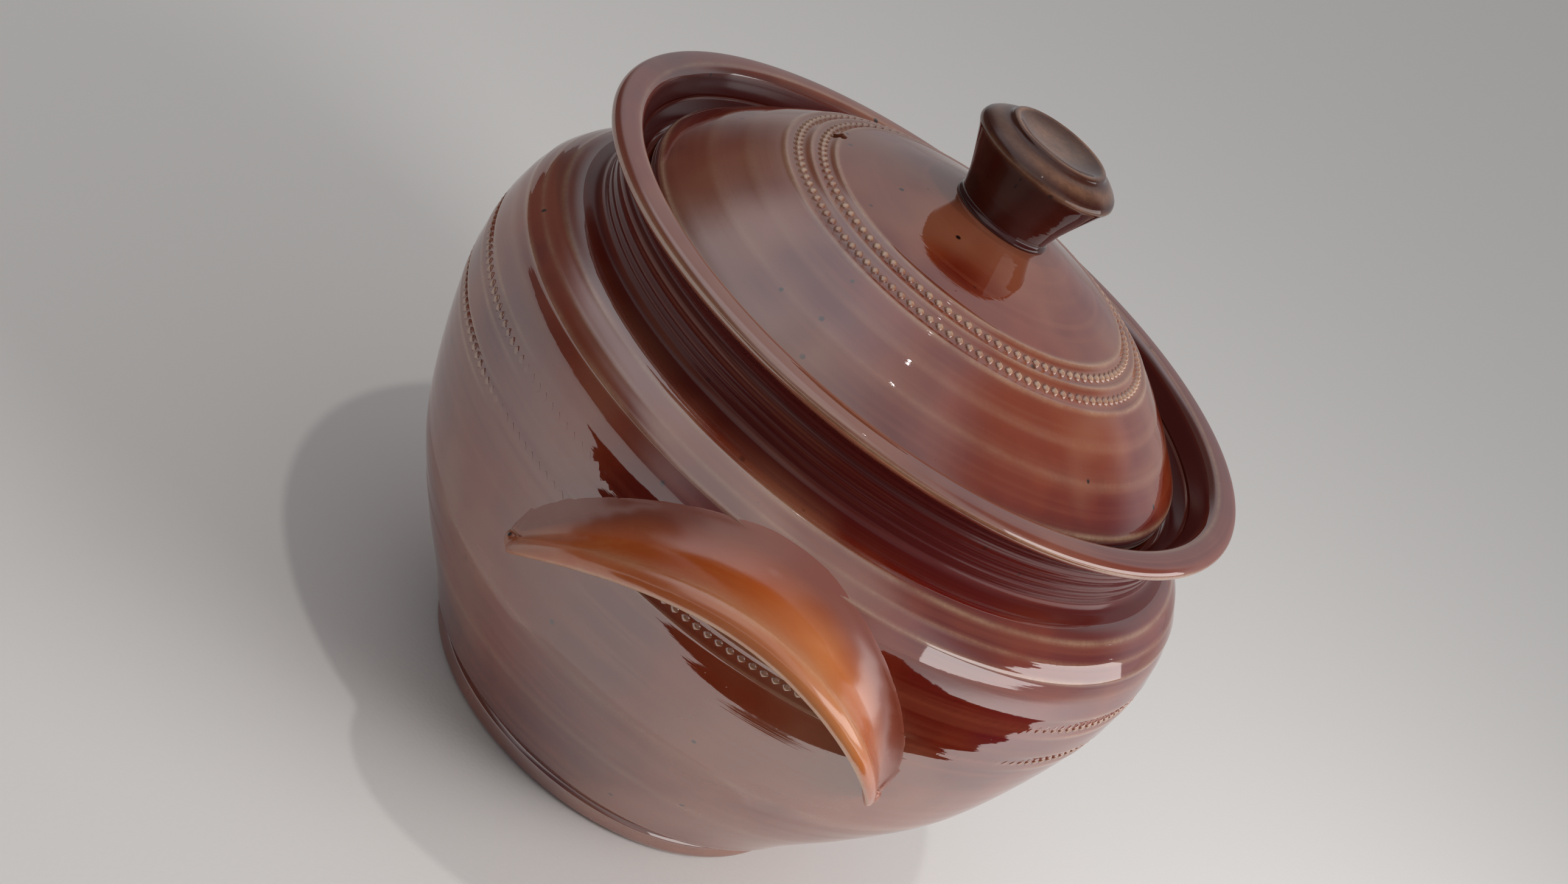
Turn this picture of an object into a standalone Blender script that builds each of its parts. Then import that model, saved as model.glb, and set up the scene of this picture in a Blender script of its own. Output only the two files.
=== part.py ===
"""Lidded stoneware casserole: a thrown pot with two ledge lugs, a domed lid and its knob. Metres, +Z up.

The pot is one fired piece. Its wall is divided here into four turned rings of simple shape:
foot, flank, belly and neck.
"""

import math

import bpy
from mathutils import Vector

MM = 0.001

# --- Driving dimensions, in millimetres and degrees --------------------------
FOOT_R = 71.0  # the rolled foot the pot stands on
FOOT_RECESS = 2.5
GROOVE_Z = 10.4  # groove turned above the foot
BELLY_R = 125.1
BELLY_Z = 126.5
NECK_R = 103.4
RIM_R = 115.0
RIM_TOP_Z = 183.6
LEDGE_Z = 169.3  # gallery ledge that carries the lid
THROAT_R = 90.3  # inner edge of that ledge
FLOOR_Z = 10.2  # inside floor of the pot
LID_R = 95.5
LID_TOP_Z = 214.5  # small flat at the lid's centre, under the knob
LID_THICKNESS = 6.0
KNOB_R = 24.2
KNOB_WAIST_R = 15.3
KNOB_HEIGHT = 28.9
STEAM_HOLE_D = 4.5
STEAM_HOLE_R = 53.0  # distance of the steam hole from the lid's axis
STEAM_HOLE_AZIMUTH = -94.0  # from -Y towards +X
TOUCH_GAP = 0.3  # left between two pieces that touch
LUG_GAP = 0.4  # the same between a lug and the wall, measured along the radius
# Heights on the inside and the outside where the pot's one wall is divided into turned rings.
FLANK_Z = (22.5, 25.0)
BELLY_FROM_Z = (77.0, 69.0)
NECK_FROM_Z = (144.9, 143.8)
LUG_HALF_ANGLE = 31.0  # either side of the lug's middle
LUG_REACH = 26.5  # how far the lip stands out from the wall at the middle
LUG_TIP_REACH = 4.0
LUG_LIP_THICKNESS = 7.8
LUG_TIP_Z = 85.0  # underside of the lip at the tips
LUG_RISE = 45.0  # how much higher it is at the middle
LUG_CREASE_Z = 95.0  # top of the lug on the wall at the tips
LUG_CREASE_RISE = 46.2

TURNS = 48  # segments of the pot and the lid
KNOB_TURNS = 32
LUG_SECTIONS = 17
SHARP_ANGLE = math.radians(38.0)


def smooth(points, steps):
    """A Catmull-Rom curve through the points, with that many steps between one point and the next."""
    points = [Vector(point) for point in points]
    ends = [2 * points[0] - points[1]] + points + [2 * points[-1] - points[-2]]
    curve = []
    for a, b, c, d in zip(ends, ends[1:], ends[2:], ends[3:]):
        for step in range(steps):
            t = step / steps
            bend = (2 * a - 5 * b + 4 * c - d) * t**2 + (3 * b - 3 * c + d - a) * t**3
            curve.append(0.5 * (2 * b + (c - a) * t + bend))
    return curve + [points[-1]]


def outer_wall():
    """(radius, height) down the outside, from the top of the shoulder to the groove above the foot."""
    shoulder = [(NECK_R + 1.5, 156.6), (112.6, 153.3), (121.5, 143.8), (BELLY_R, BELLY_Z)]
    belly = [(122.7, 103.5), (112.3, 69.0), (99.1, 46.0), (84.5, 25.0)]
    hollow = [Vector((79.4, 17.3)), Vector((75.9, 12.2)), Vector((68.3, GROOVE_Z))]
    return smooth(shoulder + belly, 2) + hollow


def inner_wall():
    """(radius, height) up the inside, from the edge of the floor to under the shoulder."""
    low = [(74.5, 22.5), (93.3, 48.0), (108.8, 77.0)]
    return smooth(low + [(117.2, 108.0), (118.6, 128.0), (112.8, 144.9)], 2)


def between(wall, low, high):
    return [point for point in wall if low - 0.01 <= point.y <= high + 0.01]


def wall_ring(low, high):
    """The wall's section between two (inside, outside) heights, a gap above the ring below it."""
    gap = Vector((0.0, TOUCH_GAP))
    inside = between(inner_wall(), low[0], high[0])
    outside = between(outer_wall(), low[1], high[1])
    return [inside[0] + gap] + inside[1:] + outside[:-1] + [outside[-1] + gap]


def foot_profile():
    """The floor, the foot it stands on and the wall up to the flank."""
    floor = [(0.0, FLOOR_Z), (42.0, FLOOR_Z + 0.8), (61.0, 14.0), (74.5, FLANK_Z[0])]
    foot = [(69.9, 8.4), (FOOT_R, 5.0), (69.5, 1.6), (65.5, 0.0), (57.5, 0.0), (55.0, FOOT_RECESS)]
    return floor + between(outer_wall(), 0.0, FLANK_Z[1]) + foot + [(0.0, FOOT_RECESS)]


def neck_profile():
    """The closed section of the shoulder, throat, gallery, rim and neck."""
    gap = Vector((0.0, TOUCH_GAP))
    throat = [(100.5, 152.8), (93.6, 157.9), (90.2, 163.5), (THROAT_R - 0.7, LEDGE_Z - 1.4)]
    gallery = [(THROAT_R, LEDGE_Z), (97.3, LEDGE_Z), (100.5, 172.3), (101.8, 174.0), (103.6, 178.2)]
    lip = [(105.4, 182.0), (107.0, RIM_TOP_Z - 0.3), (110.2, RIM_TOP_Z), (113.7, 182.9), (RIM_R, 180.8)]
    flare = [(113.6, 178.7), (109.9, 176.9), (105.6, 173.6), (NECK_R + 0.5, 170.6)]
    neck = [(NECK_R + 1.1, 168.0), (NECK_R + 0.1, 165.5), (NECK_R, 160.0)]
    shoulder = between(outer_wall(), NECK_FROM_Z[1], 200.0)
    top = throat + gallery + lip + flare + neck
    return [inner_wall()[-1] + gap] + top + shoulder[:-1] + [shoulder[-1] + gap]


def lid_profile():
    """The lid's section: down the dome, round its edge and back under it."""
    flat_r = 16.8
    dome = [(flat_r, LID_TOP_Z), (34.5, 209.4), (62.8, 199.8), (79.9, 188.6)]
    dome += [(90.9, 179.4), (94.8, 175.7)]
    seat_z = LEDGE_Z + TOUCH_GAP
    edge = [(LID_R, 173.9), (LID_R, 171.0), (LID_R - 0.8, seat_z), (LID_R - 6.5, seat_z)]
    under = [(88.3, 171.6), (78.5, 182.2), (60.0, 193.8), (30.0, 204.2)]
    middle_z = LID_TOP_Z - LID_THICKNESS - 1.0
    return [(0.0, LID_TOP_Z)] + smooth(dome, 2) + edge + smooth(under, 2) + [(0.0, middle_z)]


def knob_profile():
    """The knob's section: the dished top disc, the bevelled shoulder and the tapering side."""
    base_z = LID_TOP_Z + TOUCH_GAP
    top_z = base_z + KNOB_HEIGHT
    dish = [(0.0, top_z - 2.1), (5.8, top_z - 2.0), (11.5, top_z - 1.3), (15.2, top_z)]
    disc = [(16.5, top_z - 0.1), (17.2, top_z - 1.3)]
    bevel = [(19.8, top_z - 2.4), (22.0, top_z - 3.8), (KNOB_R - 0.3, top_z - 5.6), (KNOB_R, top_z - 7.3)]
    side = [(22.6, 234.2), (19.2, 226.6), (17.2, 222.0)]
    waist = [(KNOB_WAIST_R + 0.3, 217.4), (KNOB_WAIST_R, base_z)]
    return dish + disc + bevel + side + waist + [(0.0, base_z)]


def wall_radius(height):
    """Outer radius of the pot's faceted wall at a height."""
    wall = outer_wall()
    for upper, lower in zip(wall, wall[1:]):
        if lower.y <= height <= upper.y:
            return lower.x + (upper.x - lower.x) * (height - lower.y) / (upper.y - lower.y)
    raise ValueError("height is outside the wall")


def clear_scene():
    for obj in list(bpy.data.objects):
        bpy.data.objects.remove(obj)


def glaze(name, colour, roughness):
    material = bpy.data.materials.new(name)
    material.use_nodes = True
    shader = material.node_tree.nodes["Principled BSDF"]
    shader.inputs["Base Color"].default_value = (*colour, 1.0)
    shader.inputs["Roughness"].default_value = roughness
    shader.inputs["Metallic"].default_value = 0.0
    return material


def add_object(name, mesh, material):
    """An object with its origin on the pot's axis, on the surface it stands on."""
    mesh.materials.append(material)
    obj = bpy.data.objects.new(name, mesh)
    bpy.context.scene.collection.objects.link(obj)
    return obj


def turn(name, profile, steps, material):
    """A solid turned round Z. Its section runs down its outer side; one clear of the axis makes a ring."""
    mesh = bpy.data.meshes.new(name)
    points = [(radius * MM, 0.0, height * MM) for radius, height in profile]
    edges = [(i, i + 1) for i in range(len(points) - 1)]
    if points[0][0] > 0.0:
        edges.append((len(points) - 1, 0))
    mesh.from_pydata(points, edges, [])
    obj = add_object(name, mesh, material)
    screw = obj.modifiers.new("turn", "SCREW")
    screw.axis = "Z"
    screw.steps = steps
    screw.render_steps = steps
    screw.use_merge_vertices = True
    screw.merge_threshold = 0.00001
    screw.use_smooth_shade = True
    return obj


def lug_section(angle):
    """(radius, height) round the lug at an angle from its middle: wall, scooped top, lip, underside."""
    share = max(0.0, 1.0 - (angle / LUG_HALF_ANGLE) ** 2)
    reach = LUG_TIP_REACH + (LUG_REACH - LUG_TIP_REACH) * share**0.75
    lip_z = LUG_TIP_Z + LUG_RISE * share**1.2
    crease_z = LUG_CREASE_Z + LUG_CREASE_RISE * share**0.88
    thick = LUG_LIP_THICKNESS * (0.74 + 0.26 * share)
    root_z = lip_z + 1.5
    out = wall_radius(lip_z + thick / 2) + reach

    wall = [root_z + (crease_z - root_z) * step / 3 for step in range(4)]
    wall = [(wall_radius(height) + LUG_GAP, height) for height in wall]

    start = Vector((wall_radius(crease_z) + LUG_GAP + 0.8, crease_z - 0.1))
    ridge = Vector((max(out - 3.6, start.x + 0.6), lip_z + thick))
    bend = Vector((wall_radius(ridge.y) + 1.2 + 0.2 * reach, min(ridge.y, crease_z) - 3.2 * share))
    steps = [step / 5 for step in range(6)]
    scoop = [start * (1 - t) ** 2 + bend * 2 * t * (1 - t) + ridge * t**2 for t in steps]

    lip = [
        (out - 1.1, lip_z + 0.84 * thick),
        (out, lip_z + 0.52 * thick),
        (out - 0.9, lip_z + 0.16 * thick),
        (out - 2.6, lip_z),
    ]
    under = [(wall_radius(root_z) + LUG_GAP + 0.45 * (reach - 2.6), lip_z + 0.9)]
    return wall + scoop + lip + under


def add_lug(name, azimuth, material):
    """A ledge-shaped lug that arches round the wall, its middle at an azimuth from -Y towards +X."""
    points = []
    for section in range(LUG_SECTIONS):
        angle = LUG_HALF_ANGLE * (2 * section / (LUG_SECTIONS - 1) - 1)
        turned = math.radians(azimuth + angle)
        loop = lug_section(angle)
        points += [(r * math.sin(turned) * MM, -r * math.cos(turned) * MM, z * MM) for r, z in loop]
    count = len(loop)
    end = (LUG_SECTIONS - 1) * count
    faces = [tuple(reversed(range(count))), tuple(range(end, end + count))]
    for here in range(0, end, count):
        for step in range(count):
            after = (step + 1) % count
            faces.append((here + step, here + after, here + count + after, here + count + step))
    mesh = bpy.data.meshes.new(name)
    mesh.from_pydata(points, [], faces)
    mesh.shade_smooth()
    mesh.set_sharp_from_angle(angle=SHARP_ANGLE)
    return add_object(name, mesh, material)


def cut_steam_hole(lid):
    """A straight upright hole through the lid."""
    azimuth = math.radians(STEAM_HOLE_AZIMUTH)
    centre = Vector((STEAM_HOLE_R * math.sin(azimuth), -STEAM_HOLE_R * math.cos(azimuth), 200.0)) * MM
    radius = STEAM_HOLE_D / 2 * MM
    bpy.ops.mesh.primitive_cylinder_add(vertices=16, radius=radius, depth=30 * MM, location=centre)
    cutter = bpy.context.active_object
    cutter.name = "steam_hole_cutter"
    cutter.hide_render = True
    cutter.display_type = "WIRE"
    cut = lid.modifiers.new("steam_hole", "BOOLEAN")
    cut.operation = "DIFFERENCE"
    cut.solver = "EXACT"
    cut.object = cutter


def main():
    clear_scene()
    pot_glaze = glaze("pot_glaze", (0.17, 0.050, 0.024), 0.12)
    turn("pot_foot", foot_profile(), TURNS, pot_glaze)
    turn("pot_flank", wall_ring(FLANK_Z, BELLY_FROM_Z), TURNS, pot_glaze)
    turn("pot_belly", wall_ring(BELLY_FROM_Z, NECK_FROM_Z), TURNS, pot_glaze)
    turn("pot_neck", neck_profile(), TURNS, pot_glaze)
    lug_glaze = glaze("lug_glaze", (0.23, 0.075, 0.028), 0.14)
    add_lug("lug_front", 0.0, lug_glaze)
    add_lug("lug_back", 180.0, lug_glaze)
    lid = turn("lid", lid_profile(), TURNS, glaze("lid_glaze", (0.19, 0.055, 0.028), 0.12))
    cut_steam_hole(lid)
    turn("lid_knob", knob_profile(), KNOB_TURNS, glaze("knob_glaze", (0.07, 0.018, 0.010), 0.10))


main()
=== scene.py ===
"""Looks of the lidded stoneware casserole: fine turned meshes, roulette beads and an iron glaze.

Outlines are in millimetres, which make_piece turns into metres. The studio and the camera are in metres."""

import math

import bpy
import numpy as np
from mathutils import Matrix, Vector


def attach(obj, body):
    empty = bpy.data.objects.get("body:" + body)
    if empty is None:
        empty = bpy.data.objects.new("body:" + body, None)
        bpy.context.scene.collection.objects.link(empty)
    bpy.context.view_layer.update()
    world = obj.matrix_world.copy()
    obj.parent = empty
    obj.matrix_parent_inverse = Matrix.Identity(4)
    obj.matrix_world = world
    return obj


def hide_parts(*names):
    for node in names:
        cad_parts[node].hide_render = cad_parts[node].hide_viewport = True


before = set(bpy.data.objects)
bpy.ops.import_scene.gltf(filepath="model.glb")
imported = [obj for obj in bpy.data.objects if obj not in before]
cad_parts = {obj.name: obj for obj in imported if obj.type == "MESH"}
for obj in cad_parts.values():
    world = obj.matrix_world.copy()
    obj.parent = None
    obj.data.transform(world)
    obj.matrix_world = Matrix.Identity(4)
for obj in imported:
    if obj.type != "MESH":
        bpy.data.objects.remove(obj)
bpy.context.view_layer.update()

MM = 0.001
TURN_STEPS = 288
KNOB_STEPS = 128
ON_AXIS = 0.001  # a point of an outline nearer the axis than this is one point, not a ring

# --- The pot's outline, as in the frame: (radius, height) ---------------------
INSIDE_MIDDLE = (0.0, 10.2)
INSIDE = ((42.0, 11.0), (61.0, 14.0), (74.5, 22.5), (93.3, 48.0), (108.8, 77.0), (117.2, 108.0))
INSIDE += ((118.6, 128.0), (112.8, 144.9), (100.5, 152.8), (93.6, 157.9), (90.2, 163.5), (89.6, 167.9))
LEDGE_CREST = (90.3, 169.3)  # inner edge of the ledge that the lid sits on
GALLERY = ((97.3, 169.3), (100.5, 172.3), (101.8, 174.0), (103.6, 178.2), (105.4, 182.0), (107.0, 183.3))
RIM = ((110.2, 183.6), (113.7, 182.9), (115.0, 180.8), (113.6, 178.7), (109.9, 176.9), (105.6, 173.6))
WALL_TOP = (103.4, 160.0)
NECK = ((103.9, 170.6), (104.5, 168.0), (103.5, 165.5), WALL_TOP)
WALL = ((104.9, 156.6), (112.6, 153.3), (121.5, 143.8), (125.1, 126.5), (122.7, 103.5), (112.3, 69.0))
WALL += ((99.1, 46.0), (84.5, 25.0), (79.4, 17.3), (75.9, 12.2))
FOOT = ((70.0, 11.2), (68.3, 10.4), (69.0, 9.2), (70.6, 7.2), (71.0, 5.0), (70.5, 2.8))
FOOT += ((69.2, 1.2), (67.4, 0.3), (65.5, 0.0))
RECESS = ((57.5, 0.0), (56.0, 0.7), (55.0, 2.5), (30.0, 2.5), (0.0, 2.5))
WALL_SPACING = 0.62  # between the points along an outline
RIM_SPACING = 0.55
FOOT_SPACING = 0.7
INSIDE_SPACING = 5.0
RELIEF_SETS_IN = 8  # points at each end of the wall over which its ridges and inset grow
WALL_INSET = 0.45  # room under the outline for the bead crests and the waver of the wall
OUTSIDE_RADIUS = 110.0  # points wider than this lie on the outside of the wall or on the rim

# Raised turning lines: (height on the pot, half width, how far they stand out)
WALL_RIDGES = ((157.5, 0.6, 0.10), (152.4, 0.6, 0.16), (148.2, 0.5, 0.10), (143.8, 0.5, 0.16))
WALL_RIDGES += ((139.2, 0.5, 0.10), (131.0, 0.5, 0.16), (123.8, 0.5, 0.16), (115.2, 0.5, 0.16))
WALL_RIDGES += ((108.4, 0.5, 0.16), (66.0, 1.6, 0.06), (40.0, 1.8, 0.06))
NECK_RIDGES = tuple((height, 0.55, 0.30) for height in (160.2, 163.2, 166.2, 169.2, 172.2, 175.2))
BEAD_BANDS = (127.4, 111.8)  # heights of the two bead bands
BAND_HALF = 2.3
BAND_DEPTH = 0.45
WALL_BEADS = 206
WALL_BEAD_SIZE = 1.45  # from a bead's middle to its corner
WALL_BEAD_RISE = 0.62
DETAIL_ABOVE = 140.0  # the outline keeps all its points above this height and near the bead bands
DETAIL_NEAR_BAND = 5.0
KEPT_ELSEWHERE = 3  # and one point in so many elsewhere

# The unevenness of the throwing
WAVER_LOBES = (0.16, 0.10)  # how far a two-sided and a three-sided waver go each way
WAVER_SETS_IN = (14.0, 34.0)  # heights between which they grow
TRUE_WITHIN = 102.0  # the gallery, within this radius, runs true
RING_RISE = 0.035
RING_SPACING = 5.7

# Where slip was wiped over the decoration, in degrees from a lug's middle and in height
WIPED_INNER = (22.0, 29.0)  # where the wiping sets in under the lug
WIPED_OUTER = (43.0, 56.0)  # where it ends
WIPED_BOTTOM = 100.0
WIPED_ABOVE_LUG = (116.0, 121.0)  # above these heights it reaches over the lug's middle too
WIPED_TOP = 141.0

# Where shade is painted on the pot, as deeply pooled glaze, each from none to full: two radii and two heights
PAINTED_SHADE_OUTER = (113.0, 109.0)
PAINTED_SHADE_INNER = (96.0, 98.5)
PAINTED_SHADE_BOTTOM = (153.0, 156.5)
PAINTED_SHADE_TOP = (182.6, 180.0)
PAINTED_SHADE_BELOW = -0.4  # the attribute thin under which a face takes the darker, less glossy glaze of the painted shade

# --- The lid's and the knob's outlines ----------------------------------------
LID_TOP = ((0.0, 214.5), (9.0, 214.5))
LID_DOME = ((16.8, 214.5), (34.5, 209.4), (62.8, 199.8), (79.9, 188.6), (90.9, 179.4), (94.8, 175.7))
LID_EDGE = ((95.2, 175.0), (95.5, 173.9), (95.2, 172.6), (95.5, 171.0), (94.9, 169.9), (93.9, 169.6))
LID_SEAT = (89.0, 169.6)
LID_UNDER = ((88.3, 171.6), (78.5, 182.2), (60.0, 193.8), (30.0, 204.2))
LID_UNDER_MIDDLE = (0.0, 207.5)
LID_SPACING = 0.6
LID_EDGE_SPACING = 0.5
LID_UNDER_SPACING = 4.0
LID_RINGS = (62.8, 55.8)  # radii of the two bead rings
LID_BEADS = (115, 102)
LID_BEAD_SIZE = 1.45
LID_BEAD_RISE = 0.85
LID_DETAIL = (49.0, 69.0)  # radii between which the dome keeps all its outline's points
LID_DETAIL_FROM = 90.0  # and from which it keeps them near the edge
# Raised turning lines: (radius on the lid, half width, how far they stand out)
LID_RIDGES = ((66.2, 0.6, 0.40), (59.3, 0.5, 0.35), (52.4, 0.6, 0.40), (84.0, 1.4, 0.12), (75.0, 1.2, 0.10))
HOLE_RADIUS = 53.0
HOLE_AZIMUTH = -94.0
HOLE_D = 4.5
HOLE_MIDDLE_Z = 200.0
HOLE_DEPTH = 30.0

KNOB_DISH = ((0.0, 241.6), (5.8, 241.7), (11.5, 242.4), (14.6, 243.4), (15.6, 243.7), (16.5, 243.5))
KNOB_DISC = ((16.9, 243.2), (17.2, 242.5), (17.9, 241.9), (19.8, 241.2), (22.0, 239.9), (23.5, 238.6))
KNOB_SIDE = ((23.9, 237.9), (24.2, 236.9), (23.9, 235.9), (22.6, 233.6), (19.2, 226.6), (17.2, 222.0))
KNOB_WAIST = ((16.1, 218.6), (15.6, 216.6), (16.4, 215.3))
KNOB_WAVER = 0.12
# Each stretch with the spacing of its points
KNOB_STRETCHES = ((KNOB_DISH, 0.7), (KNOB_DISC, 0.6), (KNOB_SIDE, 0.8), (KNOB_WAIST, 0.6))
KNOB_BASE = ((16.4, 214.6), (0.0, 214.6))

# --- Beads --------------------------------------------------------------------
BEAD_SIDES = 8
# Levels from the sunk foot up: (share of the size, share of the rise, how thin the glaze is there)
BEAD_LEVELS = ((1.0, -0.25, 0.05), (0.86, 0.32, 0.35), (0.52, 0.80, 0.9))

# --- The lugs -----------------------------------------------------------------
LUG_HALF_ANGLE = 31.0
LUG_NOSE = 2.2  # degrees of rounded nose past each end
LUG_SECTIONS = 121
# Measures that arch from the tips to the middle: (at the tips, how much more in the middle, power)
LUG_REACH = (4.0, 22.5, 0.75)  # how far the lip stands out from the wall
LUG_LIP_Z = (85.0, 45.0, 1.2)  # height of the lip's underside
LUG_CREASE_Z = (95.0, 46.2, 0.88)  # height of the crease between the scooped top and the wall
LUG_THICK = 7.8
LUG_TOP_Z = 151.0  # the top meets the wall no higher than this
# The rounded lip from its ridge to its underside: (mm in from its edge, share of the thickness, thin)
# The pale band just under the lip's lower edge, where thin reaches 1, is partly a glaze break and partly a
# painted highlight.
LUG_LIP = ((2.5, 0.97, 0.35), (1.2, 0.88, 0.10), (0.3, 0.70, 0.05), (0.0, 0.50, 0.05))
LUG_LIP += ((0.2, 0.32, 0.15), (0.8, 0.16, 0.70), (1.5, 0.05, 1.00), (2.6, 0.0, 0.60))
LUG_TOP_STEPS = 18
LUG_UNDER_STEPS = 7
LUG_TIP_POOL = (18.0, 31.0)  # degrees from the middle over which the glaze deepens to the tips

# --- The camera, from the photograph's perspective ----------------------------
CAMERA_PLACE = (-0.07899, -0.68266, 0.44317)
CAMERA_YAW = 0.10177  # radians
CAMERA_PITCH = -0.44908
CAMERA_ROLL = 0.67008
CAMERA_LENS = 55.594

# --- The studio's light -------------------------------------------------------
WORLD_COLOUR = (0.38, 0.375, 0.38)
ROOM_WALLS = (0.36, 0.35, 0.36)
# What the gloss sees of the room: (azimuth, elevation, inner and outer angle, colour)
ROOM_PATCHES = (
    (-95.0, 60.0, 16.0, 38.0, (0.60, 0.59, 0.62)),
    (-80.0, -5.0, 32.0, 60.0, (0.05, 0.045, 0.04)),
    (-125.0, 2.0, 24.0, 44.0, (0.08, 0.07, 0.065)),
    (0.0, 0.0, 18.0, 40.0, (0.08, 0.07, 0.08)),
    (100.0, 40.0, 20.0, 40.0, (0.12, 0.11, 0.11)),
    (-28.0, 52.0, 12.0, 30.0, (0.58, 0.54, 0.52)),
)
LAMP_AZIMUTH = 13.4
LAMP_ELEVATION = 78.0
LAMP_AWAY = 3.5
LAMP_ENERGY = 52.0
LAMP_SIZE = 0.06
LAMP_COLOUR = (1.0, 0.97, 0.93)
LAMP_CARD_AWAY = 1.5
LAMP_CARD_HALF = 0.007
LAMP_CARD_RADIANCE = 40.0
SIDE_PLACE = Vector((0.58, -0.22, 0.46))
SIDE_ENERGY = 3.2
SIDE_SIZE = 0.35
SIDE_COLOUR = (1.0, 0.97, 0.96)
WINDOW_AZIMUTHS = (48.0, 118.0)
WINDOW_ELEVATIONS = (4.0, 22.0)
WINDOW_AWAY = 1.6
WINDOW_RADIANCE = 1.6
# The edge of a dark sheet on the floor, which the gloss sees in front of the pot
DARK_EDGE_LEFT = Vector((-0.0676, -0.2144, 0.0006))
DARK_EDGE_RIGHT = Vector((0.1148, -0.1383, 0.0006))
DARK_PAST_LEFT = 0.6
DARK_PAST_RIGHT = 0.35
DARK_RADIANCE = 0.01


# --- Outlines -----------------------------------------------------------------


def vectors(points):
    return [Vector(point) for point in points]


def smooth(points, spacing):
    """A Catmull-Rom curve through the points, with a point about every spacing along it."""
    points = vectors(points)
    ends = [2 * points[0] - points[1]] + points + [2 * points[-1] - points[-2]]
    curve = []
    for a, b, c, d in zip(ends, ends[1:], ends[2:], ends[3:]):
        count = max(2, math.ceil((c - b).length / spacing))
        for index in range(count):
            t = index / count
            bend = (2 * a - 5 * b + 4 * c - d) * t**2 + (3 * b - 3 * c + d - a) * t**3
            curve.append(0.5 * (2 * b + (c - a) * t + bend))
    return curve + [points[-1]]


def bump(distance, half_width):
    return math.exp(-((distance / half_width) ** 2))


def fade(value, none, full):
    """0 at none, 1 at full, straight between them."""
    return min(1.0, max(0.0, (value - none) / (full - none)))


def groove(distance):
    """The shallow flat groove that a bead band lies in: 1 in it, 0 outside it."""
    return 1 / (1 + (distance / BAND_HALF) ** 8)


def with_relief(outline, along, ridges, bands, inset):
    """The outline with ridges raised and bead grooves sunk along its normal, where along(point) says."""
    relief = []
    for index, point in enumerate(outline):
        before = outline[max(0, index - 1)]
        after = outline[min(len(outline) - 1, index + 1)]
        direction = (after - before).normalized()
        normal = Vector((-direction.y, direction.x))
        place = along(point)
        height = sum(rise * bump(place - where, half) for where, half, rise in ridges)
        height -= sum(BAND_DEPTH * groove(place - where) for where in bands)
        relief.append(point + normal * (height - inset))
    return relief


def wall_outline():
    """Down the outside of the pot, from the neck to the groove above the foot."""
    curve = smooth((WALL_TOP,) + WALL + FOOT[:1], WALL_SPACING)
    raised = with_relief(curve, lambda point: point.y, WALL_RIDGES, BEAD_BANDS, WALL_INSET)
    last = len(curve) - 1
    shares = [min(1.0, min(index, last - index) / RELIEF_SETS_IN) for index in range(len(curve))]
    return [bare.lerp(rich, share) for bare, rich, share in zip(curve, raised, shares)]


def thinned(outline, keep):
    """The outline with fewer points where keep(point) is false."""
    return [point for index, point in enumerate(outline) if index % KEPT_ELSEWHERE == 0 or keep(point)]


def near_wall_detail(point):
    if point.y > DETAIL_ABOVE:
        return True
    return any(abs(point.y - band) < DETAIL_NEAR_BAND for band in BEAD_BANDS)


def near_lid_detail(point):
    return LID_DETAIL[0] < point.x < LID_DETAIL[1] or point.x > LID_DETAIL_FROM


def pot_outline():
    """Up the inside, over the rim, down the outside and across the foot, from axis to axis."""
    inside = smooth((INSIDE_MIDDLE,) + INSIDE, INSIDE_SPACING)
    rim = smooth(GALLERY + RIM + NECK + WALL[:1], RIM_SPACING)[:-1]
    rim = [point for point in rim if point.y > WALL_TOP[1] + 0.1 or point.x < 103.0]
    widest = max(range(len(rim)), key=lambda place: rim[place].x)
    rim = rim[:widest] + with_relief(rim[widest:], lambda point: point.y, NECK_RIDGES, (), 0.0)
    wall = thinned(wall_outline(), near_wall_detail)
    foot = smooth(FOOT, FOOT_SPACING)
    return inside + vectors([LEDGE_CREST]) + rim + wall + foot + vectors(RECESS)


def plain_dome():
    return smooth(LID_DOME, LID_SPACING)


def dome_outline():
    """Down the lid's dome, with its ridges and bead grooves."""
    return with_relief(plain_dome(), lambda point: point.x, LID_RIDGES, LID_RINGS, 0.0)


def lid_outline():
    """Down the dome from the middle, round the edge and back along the underside."""
    dome = thinned(dome_outline(), near_lid_detail)
    edge = smooth(LID_EDGE, LID_EDGE_SPACING)
    under = vectors([LID_SEAT]) + smooth(LID_UNDER, LID_UNDER_SPACING) + vectors([LID_UNDER_MIDDLE])
    return vectors(LID_TOP) + dome + edge + under


def knob_outline():
    """From the middle of the dish out over the disc, down the bevel and the tapering side."""
    outline = []
    for stretch, spacing in KNOB_STRETCHES:
        outline += smooth(stretch, spacing)
    return outline + vectors(KNOB_BASE)


WALL_CURVE = smooth((WALL_TOP,) + WALL, 1.0)


def wall_radius(height):
    """Outer radius of the pot's wall at a height."""
    for upper, lower in zip(WALL_CURVE, WALL_CURVE[1:]):
        if lower.y <= height <= upper.y:
            return lower.x + (upper.x - lower.x) * (height - lower.y) / (upper.y - lower.y)
    raise ValueError("height is outside the wall")


# --- Meshes -------------------------------------------------------------------


def make_piece(name, points, faces, thin, material):
    """A smooth-shaded object from points in millimetres.

    Its attribute thin is 1 where the glaze broke and where a highlight is painted, -1 where it pooled and
    where shade is painted.
    """
    mesh = bpy.data.meshes.new(name)
    mesh.from_pydata([tuple(point) for point in np.asarray(points) * MM], [], faces)
    attribute = mesh.attributes.new("thin", "FLOAT", "POINT")
    attribute.data.foreach_set("value", np.asarray(thin, dtype=np.float32))
    mesh.shade_smooth()
    mesh.materials.append(material)
    piece = bpy.data.objects.new(name, mesh)
    bpy.context.scene.collection.objects.link(piece)
    return piece


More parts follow.
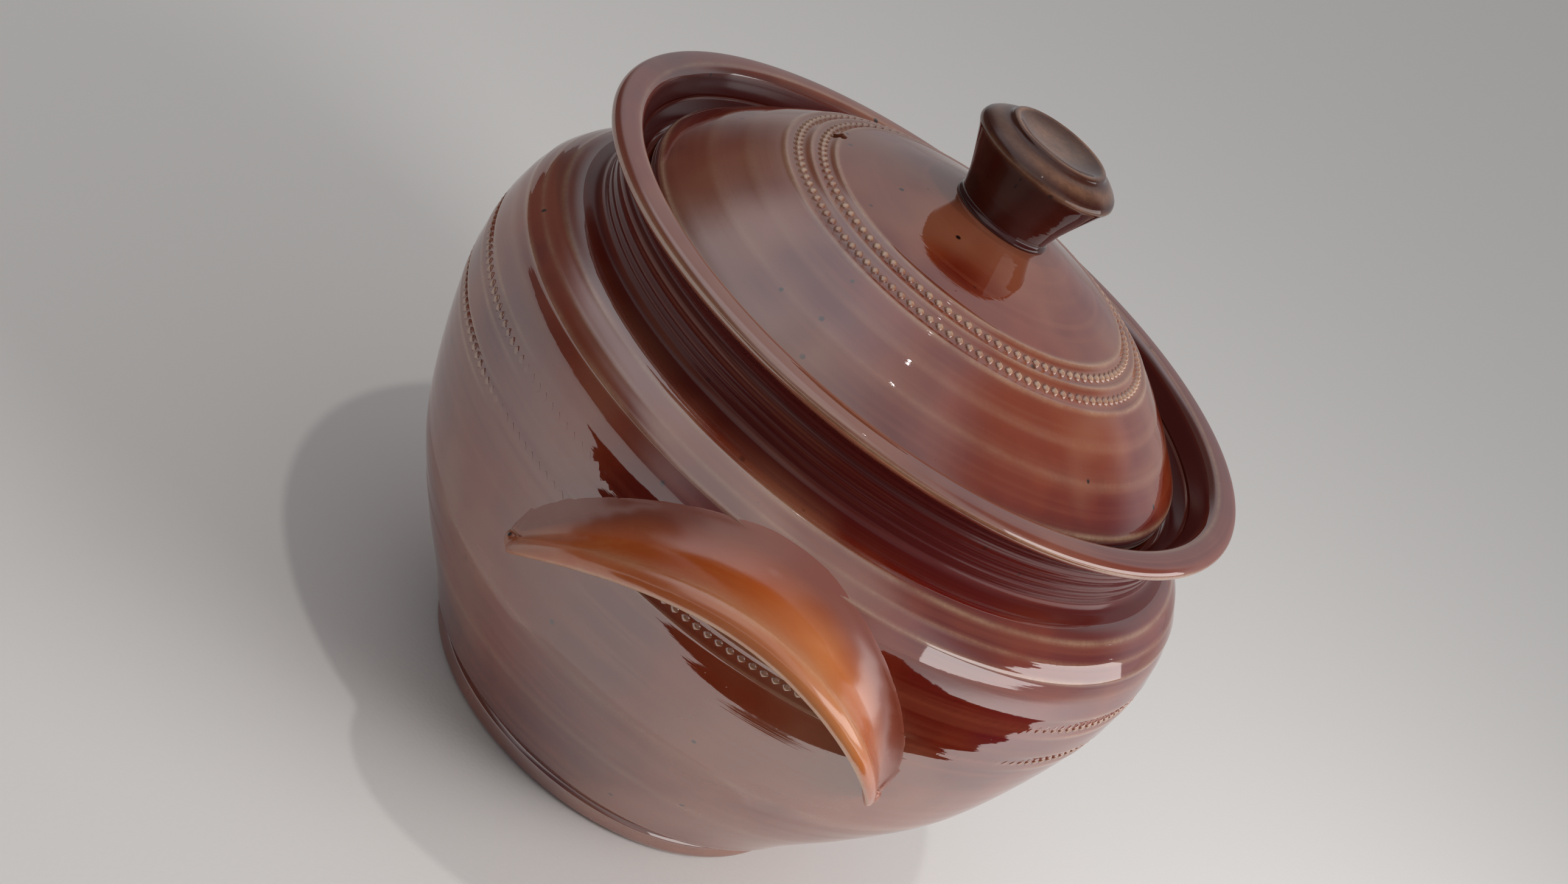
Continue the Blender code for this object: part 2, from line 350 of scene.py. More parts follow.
def glaze_breaks_and_highlights(radius, height, breaks_and_highlights):
    """How thin the glaze runs at a point of the section, and how strong a painted highlight is: 1 on a crest,
    fading over each break's reach.
    """
    return max(rise * bump(math.hypot(radius - r, height - z), reach) for r, z, reach, rise in breaks_and_highlights)


def no_pool(point):
    return 0.0


def pot_painted_shade(point):
    """Painted shade round the neck, under the rim and in the gallery, laid on as deeply pooled glaze: from 0
    to 1.
    """
    across = fade(point.x, *PAINTED_SHADE_OUTER) * fade(point.x, *PAINTED_SHADE_INNER)
    return across * fade(point.y, *PAINTED_SHADE_BOTTOM) * fade(point.y, *PAINTED_SHADE_TOP)


def ring_faces(upper, lower, steps):
    """The faces between two rings of point numbers. A ring of one number is a point on the axis."""
    faces = []
    for step in range(steps):
        after = (step + 1) % steps
        if len(upper) == 1:
            faces.append((upper[0], lower[step], lower[after]))
        elif len(lower) == 1:
            faces.append((upper[after], upper[step], lower[0]))
        else:
            faces.append((upper[after], upper[step], lower[step], lower[after]))
    return faces


def turned(name, outline, steps, material, breaks_and_highlights, waver, pool_or_shade=no_pool):
    """A piece turned round Z from an outline that starts and ends on the axis.

    waver(azimuth, point) is what to add to a point's radius.
    """
    points = []
    thin = []
    rings = []
    for point in outline:
        value = glaze_breaks_and_highlights(point.x, point.y, breaks_and_highlights) - pool_or_shade(point)
        if point.x < ON_AXIS:
            rings.append([len(points)])
            points.append((0.0, 0.0, point.y))
            thin.append(value)
            continue
        rings.append(list(range(len(points), len(points) + steps)))
        outside = point.x > OUTSIDE_RADIUS
        for step in range(steps):
            azimuth = 2 * math.pi * step / steps
            radius = point.x + waver(azimuth, point)
            points.append((radius * math.sin(azimuth), -radius * math.cos(azimuth), point.y))
            thin.append(value * (1 - wiped(azimuth, point.y)) if outside else value)
    faces = []
    for upper, lower in zip(rings, rings[1:]):
        faces += ring_faces(upper, lower, steps)
    return make_piece(name, points, faces, thin, material)


def wiped(azimuth, height):
    """1 where slip was wiped over the wall's decoration, above each lug and beside its ends."""
    if not WIPED_BOTTOM < height < WIPED_TOP:
        return 0.0
    from_lug = math.degrees(abs(math.remainder(azimuth, math.pi)))
    above = fade(height, *WIPED_ABOVE_LUG)
    return fade(from_lug, WIPED_OUTER[1], WIPED_OUTER[0]) * max(above, fade(from_lug, *WIPED_INNER))


def wiped_relief(azimuth, height):
    """What wiping takes off the ridges and fills into the bead grooves at a height."""
    share = wiped(azimuth, height)
    if share == 0.0:
        return 0.0
    relief = sum(rise * bump(height - where, half) for where, half, rise in WALL_RIDGES)
    relief -= sum(BAND_DEPTH * groove(height - where) for where in BEAD_BANDS)
    return -relief * share


def uneven(azimuth, point):
    """The slight unevenness of a hand-thrown wall, inwards but for the fine rings. The foot runs true."""
    if point.y < WAVER_SETS_IN[0] or point.x < TRUE_WITHIN:
        return 0.0
    two, three = WAVER_LOBES
    slow = two * math.sin(2 * azimuth + 0.7) + three * math.sin(3 * azimuth + 2.0 + point.y / 40)
    rings = RING_RISE * math.sin(2 * math.pi * point.y / RING_SPACING + 0.9 * math.sin(azimuth))
    return fade(point.y, *WAVER_SETS_IN) * (slow + rings - (two + three))


def pot_waver(azimuth, point):
    return uneven(azimuth, point) + wiped_relief(azimuth, point.y)


def lid_waver(azimuth, point):
    return 0.0


def knob_waver(azimuth, point):
    """A knob thrown by hand isn't quite round."""
    return KNOB_WAVER * math.sin(2 * azimuth + 0.4) - KNOB_WAVER


def band_frame(outline, at):
    """The point and normal of an outline where at(point) is smallest."""
    index = min(range(1, len(outline) - 1), key=lambda place: at(outline[place]))
    direction = (outline[index + 1] - outline[index - 1]).normalized()
    return outline[index], Vector((-direction.y, direction.x))


def add_bead(points, faces, thin, middle, side, up, size, bare):
    """One raised, slightly four-cornered bead: a low dome whose foot is sunk in the groove."""
    slope = np.cross(side, up)
    start = len(points)
    for reach, rise, value in BEAD_LEVELS:
        for corner in range(BEAD_SIDES):
            angle = 2 * math.pi * corner / BEAD_SIDES
            spread = size[0] * reach * (1 + 0.10 * math.cos(4 * angle))
            offset = side * math.cos(angle) * spread + slope * math.sin(angle) * spread * 1.05
            points.append(middle + offset + up * rise * (size[1] * bare))
            thin.append(value * bare)
    points.append(middle + up * (size[1] * bare))
    thin.append(bare)
    for level in range(len(BEAD_LEVELS) - 1):
        low = start + level * BEAD_SIDES
        for corner in range(BEAD_SIDES):
            after = (corner + 1) % BEAD_SIDES
            faces.append((low + corner, low + BEAD_SIDES + corner, low + BEAD_SIDES + after, low + after))
    top = start + len(BEAD_LEVELS) * BEAD_SIDES
    for corner in range(BEAD_SIDES):
        faces.append((top - BEAD_SIDES + corner, top, top - BEAD_SIDES + (corner + 1) % BEAD_SIDES))


def add_beads(points, faces, thin, centre, normal, count, size, waver):
    """A ring of beads, each of size (half width, rise), lower where the band was wiped."""
    for bead in range(count):
        azimuth = 2 * math.pi * (bead + 0.5) / count
        radius = centre.x + waver(azimuth, centre)
        out = np.array((math.sin(azimuth), -math.cos(azimuth), 0.0))
        side = np.array((math.cos(azimuth), math.sin(azimuth), 0.0))
        up = out * normal.x + np.array((0.0, 0.0, normal.y))
        middle = out * radius + np.array((0.0, 0.0, centre.y))
        add_bead(points, faces, thin, middle, side, up, size, 1 - wiped(azimuth, centre.y))


def arched(share, at_tips, more, power):
    """A lug's measure where share goes from 0 at its tips to 1 in its middle."""
    return at_tips + more * share**power


def lug_top(share, out, reach, lip_z, crease_z, thick):
    """(radius, height, thin) from the wall above the crease, through the scoop, to the lip's ridge."""
    above = min(crease_z + 6.0, LUG_TOP_Z)
    start = Vector((wall_radius(above) - WALL_INSET + 0.04, above))
    along_wall = Vector((wall_radius(above - 2.0) - wall_radius(above + 2.0), -4.0)).normalized()
    heel = start + along_wall * (above - crease_z + 2.0)
    ridge = Vector((max(out - 3.6, wall_radius(lip_z + thick) + 0.8), lip_z + thick))
    bend = Vector((wall_radius(ridge.y) + 1.2 + 0.2 * reach, min(ridge.y, crease_z) - 3.2 * share))
    loop = [(wall_radius(above + 3.0) - WALL_INSET - 0.6, above + 3.0, -1.0)]
    for step in range(LUG_TOP_STEPS + 1):
        t = step / LUG_TOP_STEPS
        point = start * (1 - t) ** 3 + heel * 3 * t * (1 - t) ** 2 + bend * 3 * t**2 * (1 - t) + ridge * t**3
        loop.append((point.x, point.y, 0.35 * bump(t - 1.0, 0.12) - fade(t, 0.60, 0.20)))
    return loop


def lug_under(out, lip_z, crease_z, middle_z):
    """From the lip along the underside into the wall, and up inside it."""
    loop = []
    edge = out - 2.6
    inner = wall_radius(lip_z + 1.5) - 1.2
    for step in range(1, LUG_UNDER_STEPS + 1):
        t = step / LUG_UNDER_STEPS
        loop.append((edge + (inner - out + 2.6) * t, lip_z + 1.5 * t**1.5, 0.05))
    loop.append((wall_radius(middle_z) - 2.0, middle_z, -1.0))
    loop.append((wall_radius(crease_z) - 2.0, crease_z - 1.0, -1.0))
    return loop


def lug_section(angle):
    """(radius, height, thin) points round the lug at an angle from its middle, its back sunk in the wall."""
    share = max(0.0, 1.0 - (angle / LUG_HALF_ANGLE) ** 2)
    reach = arched(share, *LUG_REACH)
    lip_z = arched(share, *LUG_LIP_Z)
    crease_z = arched(share, *LUG_CREASE_Z)
    thick = LUG_THICK * (0.74 + 0.26 * share)
    middle_z = lip_z + thick / 2
    out = wall_radius(middle_z) + reach - 0.35

    loop = lug_top(share, out, reach, lip_z, crease_z, thick)
    loop += [(out - inwards, lip_z + part * thick, value) for inwards, part, value in LUG_LIP]
    loop += lug_under(out, lip_z, crease_z, middle_z)
    tip = 0.8 * fade(abs(angle), *LUG_TIP_POOL)
    loop = [(radius, height, value - tip) for radius, height, value in loop]

    over = max(0.0, abs(angle) - LUG_HALF_ANGLE) / LUG_NOSE
    if over == 0.0:
        return loop
    nose = math.sqrt(max(0.0, 1.0 - min(1.0, over) ** 2))
    anchor = wall_radius(middle_z) - 1.5
    return [
        (anchor + (radius - anchor) * nose, middle_z + (height - middle_z) * nose, value)
        for radius, height, value in loop
    ]


def lug_mesh(name, azimuth, material):
    """A ledge-shaped lug arching round the wall, its middle at an azimuth from -Y towards +X."""
    points = []
    thin = []
    most = LUG_HALF_ANGLE + LUG_NOSE * 0.995
    for section in range(LUG_SECTIONS):
        spread = 2 * section / (LUG_SECTIONS - 1) - 1
        angle = most * math.sin(math.pi / 2 * spread)
        turned_by = math.radians(azimuth + angle)
        loop = lug_section(angle)
        for radius, height, value in loop:
            radius += uneven(turned_by, Vector((radius, height)))
            points.append((radius * math.sin(turned_by), -radius * math.cos(turned_by), height))
            thin.append(value)
    count = len(loop)
    end = (LUG_SECTIONS - 1) * count
    faces = [tuple(reversed(range(count))), tuple(range(end, end + count))]
    for here in range(0, end, count):
        for step in range(count):
            after = (step + 1) % count
            faces.append((here + step, here + after, here + count + after, here + count + step))
    return make_piece(name, points, faces, thin, material)


def cut_hole(lid):
    """The steam hole, straight down through the lid."""
    azimuth = math.radians(HOLE_AZIMUTH)
    centre = (HOLE_RADIUS * math.sin(azimuth), -HOLE_RADIUS * math.cos(azimuth), HOLE_MIDDLE_Z)
    size = {"radius": HOLE_D / 2 * MM, "depth": HOLE_DEPTH * MM}
    bpy.ops.mesh.primitive_cylinder_add(vertices=32, location=Vector(centre) * MM, **size)
    cutter = bpy.context.active_object
    cut = lid.modifiers.new("steam_hole", "BOOLEAN")
    cut.operation = "DIFFERENCE"
    cut.object = cutter
    evaluated = lid.evaluated_get(bpy.context.evaluated_depsgraph_get())
    mesh = bpy.data.meshes.new_from_object(evaluated)
    lid.modifiers.clear()
    lid.data = mesh
    bpy.data.objects.remove(cutter)


# --- The glaze ----------------------------------------------------------------

# Each glaze's colours: deep, rust, tan where it broke and for painted highlights, dark where it pooled and,
# on the pot, for painted shade round the neck, under the rim and in the gallery
POT_COLOURS = ((0.120, 0.008, 0.003), (0.23, 0.030, 0.007), (0.46, 0.28, 0.17), (0.085, 0.010, 0.009))
LUG_COLOURS = ((0.46, 0.090, 0.016), (0.56, 0.165, 0.034), (0.62, 0.42, 0.26), (0.22, 0.036, 0.010))
LID_COLOURS = ((0.13, 0.008, 0.003), (0.24, 0.036, 0.008), (0.58, 0.38, 0.24), (0.020, 0.0012, 0.0014))
KNOB_COLOURS = ((0.012, 0.0005, 0.0004), (0.040, 0.0015, 0.0007), (0.36, 0.18, 0.10), (0.010, 0.0006, 0.0006))
SPECK_COLOUR = (0.012, 0.005, 0.004)


class Nodes:
    """Short calls to build one material's nodes."""

    def __init__(self, name, owner=None):
        self.material = owner or bpy.data.materials.new(name)
        self.material.use_nodes = True
        self.tree = self.material.node_tree
        self.shader = self.tree.nodes.get("Principled BSDF")

    def add(self, kind, links=None, **settings):
        node = self.tree.nodes.new(kind)
        for key, value in settings.items():
            setattr(node, key, value)
        for socket, source in (links or {}).items():
            if isinstance(source, bpy.types.NodeSocket):
                self.tree.links.new(source, node.inputs[socket])
            else:
                node.inputs[socket].default_value = source
        return node

    def noise(self, place, scale, detail=3.0, rough=0.55):
        links = {"Vector": place, "Scale": scale, "Detail": detail, "Roughness": rough}
        return self.add("ShaderNodeTexNoise", links).outputs["Fac"]

    def ramp(self, value, low, high):
        """0 at low, 1 at high, smooth between them."""
        links = {"Value": value, "From Min": low, "From Max": high}
        return self.add("ShaderNodeMapRange", links, interpolation_type="SMOOTHSTEP").outputs["Result"]

    def mix(self, share, first, second):
        node = self.add("ShaderNodeMix", {"Factor": share}, data_type="RGBA")
        for socket, colour in ((node.inputs[6], first), (node.inputs[7], second)):
            if isinstance(colour, bpy.types.NodeSocket):
                self.tree.links.new(colour, socket)
            else:
                socket.default_value = (*colour, 1.0)
        return node.outputs[2]

    def math(self, operation, first, second):
        return self.add("ShaderNodeMath", {0: first, 1: second}, operation=operation).outputs[0]


def blended(first, second, share):
    """A colour that is a share of the way from the first to the second."""
    return tuple((1 - share) * a + share * b for a, b in zip(first, second))


def turning_lines(nodes, place):
    """Noise that runs in rings round Z, as turning leaves it, drifting a little along each ring."""
    flat = nodes.add("ShaderNodeSeparateXYZ", {"Vector": place}).outputs
    x_squared = nodes.math("MULTIPLY", flat["X"], flat["X"])
    y_squared = nodes.math("MULTIPLY", flat["Y"], flat["Y"])
    radius = nodes.math("SQRT", nodes.math("ADD", x_squared, y_squared), 0.0)
    rings = nodes.add("ShaderNodeCombineXYZ", {"X": radius, "Y": flat["Z"], "Z": 0.0}).outputs["Vector"]
    small = {0: place, 1: (0.012, 0.012, 0.012)}
    drift = nodes.add("ShaderNodeVectorMath", small, operation="MULTIPLY").outputs[0]
    rings = nodes.add("ShaderNodeVectorMath", {0: rings, 1: drift}, operation="ADD").outputs[0]
    return nodes.ramp(nodes.noise(rings, 260.0, 4.0, 0.6), 0.42, 0.72)


def body_colour(nodes, place, deep, rust, tan, lines, streaks, mottle):
    """Clouds of deep brown and rust, blotched warm and plum, with lighter turning lines."""
    clouds = nodes.ramp(nodes.noise(place, 16.0, 4.0), 0.38, 0.66)
    colour = nodes.mix(clouds, deep, rust)
    blotch = nodes.noise(place, 11.0, 3.0)
    warm = nodes.math("MULTIPLY", nodes.ramp(blotch, 0.50, 0.64), mottle)
    colour = nodes.mix(warm, colour, blended(rust, tan, 0.38))
    plum = nodes.math("MULTIPLY", nodes.ramp(blotch, 0.47, 0.34), mottle)
    colour = nodes.mix(plum, colour, (0.9 * deep[0], 0.6 * deep[1], 0.3 * deep[1] + 0.012))
    return nodes.mix(nodes.math("MULTIPLY", lines, streaks), colour, blended(rust, tan, 0.12))


def broken_glaze_and_highlights(nodes, place, thin):
    """How far the glaze broke, and how strong a painted highlight is, up to 0.95, uneven in a fine grain and
    in patches.
    """
    grain = nodes.noise(place, 700.0, 3.0, 0.7)
    patchy = nodes.ramp(nodes.noise(place, 60.0, 3.0), 0.30, 0.62)
    thin = nodes.math("MAXIMUM", thin, 0.0)
    broken_or_highlit = nodes.math("MULTIPLY", thin, nodes.math("ADD", nodes.math("MULTIPLY", grain, 0.9), 0.35))
    broken_or_highlit = nodes.math("MULTIPLY", broken_or_highlit, nodes.math("ADD", nodes.math("MULTIPLY", patchy, 0.55), 0.5))
    return nodes.math("MINIMUM", broken_or_highlit, 0.95)


def iron_specks(nodes, place):
    """Small round specks, in some places only."""
    cells = nodes.add("ShaderNodeTexVoronoi", {"Vector": place, "Scale": 90.0, "Randomness": 1.0})
    speck = nodes.ramp(cells.outputs["Distance"], 0.10, 0.05)
    some = nodes.ramp(nodes.noise(place, 45.0, 2.0), 0.50, 0.57)
    return nodes.math("MULTIPLY", speck, some)


def glaze_roughness(nodes, place, gloss, broken_or_highlit, pool_or_shade):
    """Smeared between the two gloss values, a little rougher where the glaze broke or pooled and where
    highlight and shade are painted.
    """
    smear = {"Value": nodes.noise(place, 30.0, 4.0), "To Min": gloss[0], "To Max": gloss[1]}
    rough = nodes.add("ShaderNodeMapRange", smear).outputs["Result"]
    for share in (broken_or_highlit, pool_or_shade):
        rough = nodes.math("ADD", rough, nodes.math("MULTIPLY", share, 0.10))
    return rough


def glaze_normal(nodes, place, lines):
    """Orange peel, pinholes and turning lines, all shallow."""
    peel = nodes.noise(place, 240.0, 2.0)
    cells = nodes.add("ShaderNodeTexVoronoi", {"Vector": place, "Scale": 160.0})
    pit = nodes.ramp(cells.outputs["Distance"], 0.0, 0.07)
    height = nodes.math("ADD", nodes.math("MULTIPLY", peel, 0.10), nodes.math("MULTIPLY", pit, 0.12))
    height = nodes.math("ADD", height, nodes.math("MULTIPLY", lines, 0.06))
    links = {"Height": height, "Strength": 0.25, "Distance": 0.0006}
    return nodes.add("ShaderNodeBump", links).outputs["Normal"]


def glaze(name, deep, rust, tan, pooled_or_shaded, streaks=0.5, mottle=0.8, gloss=(0.02, 0.06), ior=2.7):
    """Iron glaze: deep brown and rust, tan where it broke on an edge and for painted highlights, nearly black
    where it pooled and for painted shade.
    """
    nodes = Nodes(name)
    place = nodes.add("ShaderNodeTexCoord").outputs["Object"]
    thin = nodes.add("ShaderNodeAttribute", attribute_name="thin").outputs["Fac"]
    pool_or_shade = nodes.math("MAXIMUM", nodes.math("MULTIPLY", thin, -1.0), 0.0)
    broken_or_highlit = broken_glaze_and_highlights(nodes, place, thin)
    lines = turning_lines(nodes, place)

    colour = body_colour(nodes, place, deep, rust, tan, lines, streaks, mottle)
    colour = nodes.mix(nodes.math("MINIMUM", pool_or_shade, 1.0), colour, pooled_or_shaded)
    colour = nodes.mix(broken_or_highlit, colour, tan)
    colour = nodes.mix(iron_specks(nodes, place), colour, SPECK_COLOUR)
    rough = glaze_roughness(nodes, place, gloss, broken_or_highlit, pool_or_shade)
    normal = glaze_normal(nodes, place, lines)
    for socket, source in (("Base Color", colour), ("Roughness", rough), ("Normal", normal)):
        nodes.tree.links.new(source, nodes.shader.inputs[socket])
    nodes.shader.inputs["IOR"].default_value = ior
    return nodes.material


def plain(name, colour, roughness):
    nodes = Nodes(name)
    nodes.shader.inputs["Base Color"].default_value = (*colour, 1.0)
    nodes.shader.inputs["Roughness"].default_value = roughness
    return nodes


# --- The studio ---------------------------------------------------------------


def floor():
    """A plain pale sheet with a faint tooth."""
    nodes = plain("floor_paint", (0.80, 0.79, 0.77), 0.75)
    place = nodes.add("ShaderNodeTexCoord").outputs["Object"]
    tooth = nodes.noise(place, 600.0, 3.0)
    relief = nodes.add("ShaderNodeBump", {"Height": tooth, "Strength": 0.15, "Distance": 0.0005})
    nodes.tree.links.new(relief.outputs["Normal"], nodes.shader.inputs["Normal"])
    mesh = bpy.data.meshes.new("floor")
    mesh.from_pydata([(-6, -6, 0), (6, -6, 0), (6, 6, 0), (-6, 6, 0)], [], [(0, 1, 2, 3)])
    mesh.materials.append(nodes.material)
    sheet = bpy.data.objects.new("floor", mesh)
    bpy.context.scene.collection.objects.link(sheet)


def studio_card(name, corners, radiance):
    """A card that only the gloss sees: black keeps light off the glaze, bright puts a window in it."""
    material = bpy.data.materials.new(name)
    material.use_nodes = True
    tree = material.node_tree
    glow = tree.nodes.new("ShaderNodeEmission")
    glow.inputs["Color"].default_value = (1.0, 0.98, 0.97, 1.0)
    glow.inputs["Strength"].default_value = radiance
    tree.links.new(glow.outputs[0], tree.nodes["Material Output"].inputs["Surface"])
    mesh = bpy.data.meshes.new(name)
    mesh.from_pydata(corners, [], [(0, 1, 2, 3)])
    mesh.materials.append(material)
    card = bpy.data.objects.new(name, mesh)
    bpy.context.scene.collection.objects.link(card)
    card.visible_camera = False
    card.visible_diffuse = False
    card.visible_shadow = False


def toward(azimuth, elevation, distance):
    """The point at a distance in a direction, azimuth from -Y towards +X."""
    a = math.radians(azimuth)
    e = math.radians(elevation)
    return distance * Vector((math.sin(a) * math.cos(e), -math.cos(a) * math.cos(e), math.sin(e)))


def lamp(name, kind, place, energy, size, colour):
    """A lamp that lights the scene softly without showing as a shape in the gloss."""
    light = bpy.data.objects.new(name, bpy.data.lights.new(name, kind))
    light.data.energy = energy
    light.data.color = colour
    light.location = place
    light.rotation_mode = "QUATERNION"
    light.rotation_quaternion = (-light.location).to_track_quat("-Z", "Y")
    if kind == "AREA":
        light.data.size = size
    else:
        light.data.shadow_soft_size = size
    light.visible_camera = False
    light.visible_glossy = False
    bpy.context.scene.collection.objects.link(light)


def room():
    """A plain grey world that the gloss sees as a room: darker in places low down, brighter high up."""
    world = bpy.data.worlds.new("studio")
    bpy.context.scene.world = world
    world.use_nodes = True
    nodes = Nodes("room_gloss", world)
    place = nodes.add("ShaderNodeTexCoord").outputs["Generated"]
    colour = ROOM_WALLS
    for azimuth, elevation, inner, outer, seen in ROOM_PATCHES:
        middle = toward(azimuth, elevation, 1.0)
        near = nodes.add("ShaderNodeVectorMath", {0: place, 1: middle}, operation="DOT_PRODUCT")
        edges = (math.cos(math.radians(outer)), math.cos(math.radians(inner)))
        share = nodes.ramp(near.outputs["Value"], *edges)
        colour = nodes.mix(share, colour, seen)
    gloss = nodes.add("ShaderNodeLightPath").outputs["Is Glossy Ray"]
    colour = nodes.mix(gloss, WORLD_COLOUR, colour)
    nodes.tree.links.new(colour, nodes.tree.nodes["Background"].inputs["Color"])


def lamp_card():
    """The overhead lamp as the gloss sees it, a small bright square."""
    spot = toward(LAMP_AZIMUTH, LAMP_ELEVATION, LAMP_CARD_AWAY)
    across = Vector((LAMP_CARD_HALF, 0.0, 0.0))
    along = Vector((0.0, LAMP_CARD_HALF, 0.0))
    corners = [spot - across - along, spot + across - along, spot + across + along, spot - across + along]
    studio_card("lamp_card", corners, LAMP_CARD_RADIANCE)


def window_card():
    """A window low on the right."""
    left, right = WINDOW_AZIMUTHS
    low, high = WINDOW_ELEVATIONS
    places = ((left, low), (right, low), (right, high), (left, high))
    corners = [toward(azimuth, elevation, WINDOW_AWAY) for azimuth, elevation in places]
    studio_card("window_card", corners, WINDOW_RADIANCE)


def dark_card():
    """A dark sheet lying in front of the pot, its straight edge by the foot."""
    line = (DARK_EDGE_RIGHT - DARK_EDGE_LEFT).normalized()
    forward = Vector((line.y, -line.x, 0.0))
    start = DARK_EDGE_LEFT - line * DARK_PAST_LEFT
    end = DARK_EDGE_RIGHT + line * DARK_PAST_RIGHT
    studio_card("dark_card", [start, end, end + forward, start + forward], DARK_RADIANCE)


def lights():
    room()
    overhead = toward(LAMP_AZIMUTH, LAMP_ELEVATION, LAMP_AWAY)
    lamp("overhead_lamp", "POINT", overhead, LAMP_ENERGY, LAMP_SIZE, LAMP_COLOUR)
    lamp("side_light", "AREA", SIDE_PLACE, SIDE_ENERGY, SIDE_SIZE, SIDE_COLOUR)
    lamp_card()
    window_card()
    dark_card()


def camera():
    """The photograph's viewpoint and tilt."""
    view = bpy.data.objects.new("camera", bpy.data.cameras.new("camera"))
    bpy.context.scene.collection.objects.link(view)
    bpy.context.scene.camera = view
    level = Vector((math.sin(CAMERA_YAW), math.cos(CAMERA_YAW), 0.0))
    forward = level * math.cos(CAMERA_PITCH) + Vector((0.0, 0.0, math.sin(CAMERA_PITCH)))
    right = Vector((math.cos(CAMERA_YAW), -math.sin(CAMERA_YAW), 0.0))
    up = right.cross(forward)
    across = right * math.cos(CAMERA_ROLL) + up * math.sin(CAMERA_ROLL)
    above = up * math.cos(CAMERA_ROLL) - right * math.sin(CAMERA_ROLL)
    turn = Matrix((across, above, -forward)).transposed().to_4x4()
    view.matrix_world = Matrix.Translation(CAMERA_PLACE) @ turn
    view.data.sensor_width = 36.0
    view.data.lens = CAMERA_LENS


# --- The pieces ---------------------------------------------------------------


def pot_breaks_and_highlights():
    """Where the pot's glaze broke and where highlights are painted: (radius, height, reach, how thin it
    runs).
    """
    # The pale lines on the rim's outer edge and top and on the gallery's ridge are partly glaze breaks,
    # partly painted highlights.
    breaks_and_highlights = [(115.0, 180.8, 0.9, 0.7), (101.8, 174.0, 0.7, 0.9), (107.0, 183.3, 0.7, 0.5)]
    breaks_and_highlights += [(104.5, 168.0, 0.6, 0.4), (90.3, 169.3, 0.8, 0.7), (71.0, 5.0, 2.0, 0.15)]
    breaks_and_highlights += [(65.5, 0.0, 2.5, 0.8), (57.5, 0.0, 1.5, 0.9)]
    for height, half, rise in WALL_RIDGES:
        breaks_and_highlights.append((wall_radius(height), height, half + 0.25, min(0.8, 4.5 * rise)))
    breaks_and_highlights += [(wall_radius(height), height, 2.2, 0.15) for height in BEAD_BANDS]
    # Less painted shade on the neck's ridges, so that they show as lighter lines: painted highlights.
    breaks_and_highlights += [(104.0, ridge[0], 0.6, 0.30) for ridge in NECK_RIDGES]
    return breaks_and_highlights


def make_pot_body(material):
    pot = turned("pot_body", pot_outline(), TURN_STEPS, material, pot_breaks_and_highlights(), pot_waver, pot_painted_shade)
    # A darker, less glossy glaze for the faces of painted shade round the neck, under the rim and in the
    # gallery.
    pot.data.materials.append(glaze("pot_glaze_painted_shade", *POT_COLOURS, ior=1.45, gloss=(0.06, 0.12)))
    thin = pot.data.attributes["thin"].data
    for face in pot.data.polygons:
        face.material_index = int(all(thin[corner].value < PAINTED_SHADE_BELOW for corner in face.vertices))
    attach(pot, "pot")
    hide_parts("pot_foot", "pot_flank", "pot_belly", "pot_neck")


def make_pot_beads(material):
    points = []
    faces = []
    thin = []
    wall = wall_outline()
    size = (WALL_BEAD_SIZE, WALL_BEAD_RISE)
    for band in BEAD_BANDS:
        centre, normal = band_frame(wall, lambda point, band=band: abs(point.y - band))
        add_beads(points, faces, thin, centre, normal, WALL_BEADS, size, pot_waver)
    beads = make_piece("pot_bead_bands", points, faces, thin, material)
    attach(beads, "pot")


def make_pot():
    material = glaze("pot_glaze", *POT_COLOURS, mottle=0.6, ior=2.85)
    make_pot_body(material)
    make_pot_beads(material)


def make_lugs():
    material = glaze("lug_glaze", *LUG_COLOURS, streaks=0.25, mottle=0.3, gloss=(0.11, 0.19), ior=2.25)
    for name, azimuth in (("lug_front", 0.0), ("lug_back", 180.0)):
        lug = lug_mesh(name + "_glazed", azimuth, material)
        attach(lug, "pot")
        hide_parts(name)


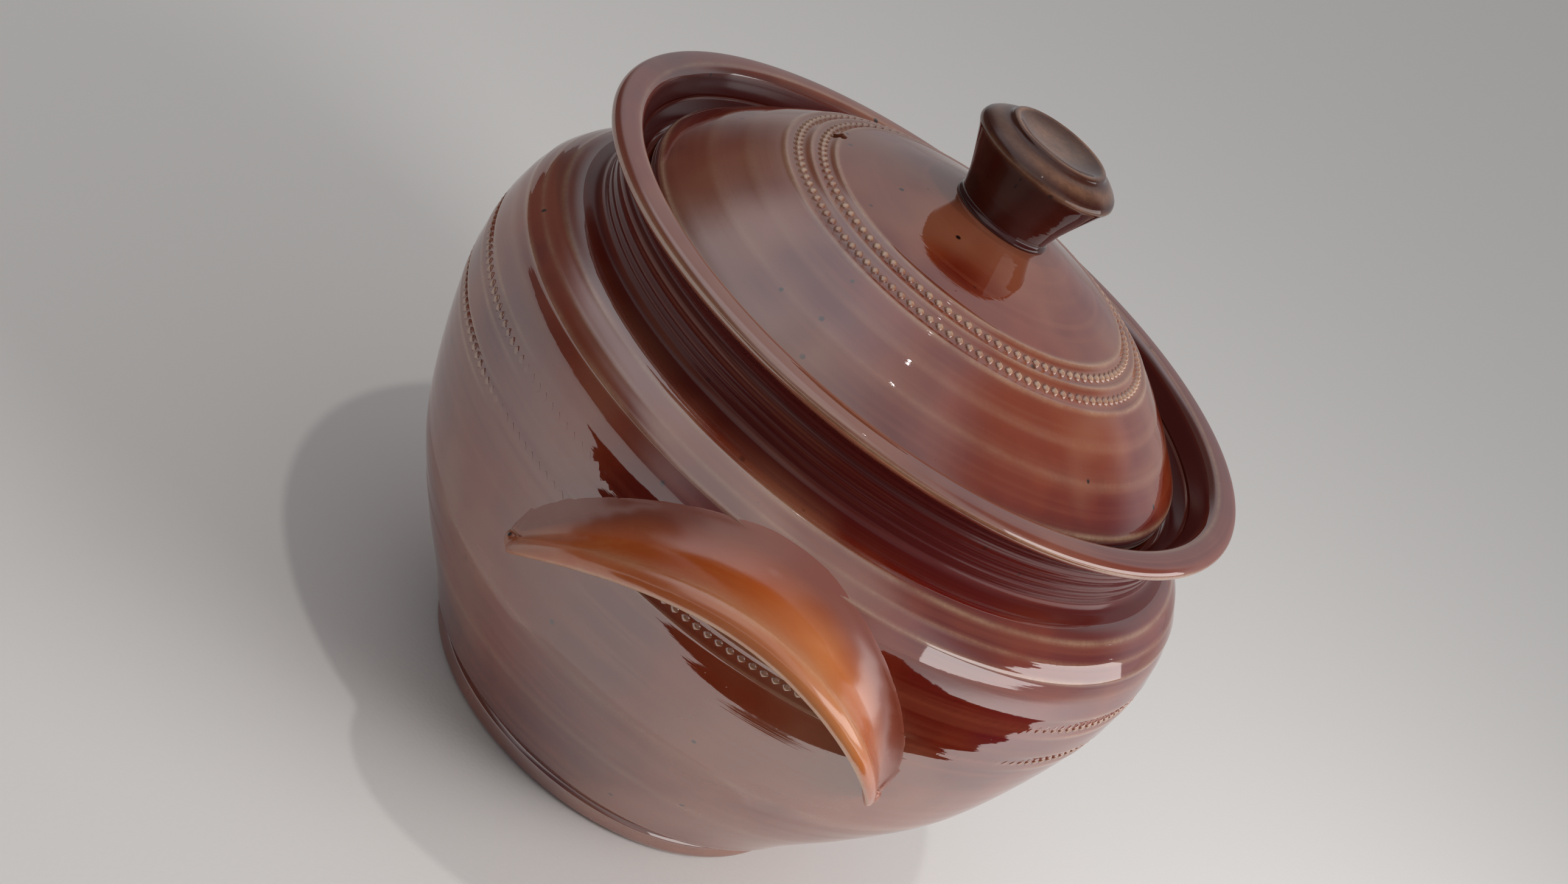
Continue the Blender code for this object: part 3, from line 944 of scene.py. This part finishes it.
def lid_breaks_and_highlights():
    """Where the lid's glaze broke and where highlights are painted, listed as for the pot, found along the
    plain dome.
    """
    dome = plain_dome()
    # The two pale lines round the lid's edge are partly glaze breaks, partly painted highlights.
    breaks_and_highlights = [(94.8, 175.7, 0.8, 0.8), (95.5, 171.2, 0.7, 0.8)]
    for radius, half, rise in LID_RIDGES:
        nearest = min(dome, key=lambda point, radius=radius: abs(point.x - radius))
        breaks_and_highlights.append((nearest.x, nearest.y + 0.2, half + 0.2, 1.6 * rise))
    for radius in LID_RINGS:
        centre, _ = band_frame(dome, lambda point, radius=radius: abs(point.x - radius))
        breaks_and_highlights.append((radius, centre.y, 2.2, 0.2))
    return breaks_and_highlights


def make_lid_beads(material):
    points = []
    faces = []
    thin = []
    dome = dome_outline()
    size = (LID_BEAD_SIZE, LID_BEAD_RISE)
    for ring, count in zip(LID_RINGS, LID_BEADS):
        centre, normal = band_frame(dome, lambda point, ring=ring: abs(point.x - ring))
        add_beads(points, faces, thin, centre, normal, count, size, lid_waver)
    beads = make_piece("lid_bead_rings", points, faces, thin, material)
    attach(beads, "lid")


def make_lid():
    material = glaze("lid_glaze", *LID_COLOURS, streaks=0.4, mottle=0.45)
    lid = turned("lid_glazed", lid_outline(), TURN_STEPS, material, lid_breaks_and_highlights(), lid_waver)
    cut_hole(lid)
    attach(lid, "lid")
    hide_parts("lid")
    make_lid_beads(material)


def make_knob():
    # The knob's tan on its dish, bevel and upper edge is partly broken glaze and partly painted highlight;
    # the low ior keeps reflections from covering it.
    material = glaze("knob_glaze", *KNOB_COLOURS, streaks=0.15, mottle=0.0, ior=1.65)
    breaks_and_highlights = [(15.6, 243.7, 1.0, 0.9), (4.0, 241.6, 9.0, 0.80)]
    breaks_and_highlights += [(20.5, 240.7, 2.6, 0.55), (24.2, 236.9, 1.0, 0.5)]
    knob = turned("knob_glazed", knob_outline(), KNOB_STEPS, material, breaks_and_highlights, knob_waver)
    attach(knob, "lid")
    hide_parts("lid_knob")


bpy.context.scene.view_settings.view_transform = "Standard"
camera()
floor()
lights()
make_pot()
make_lugs()
make_lid()
make_knob()
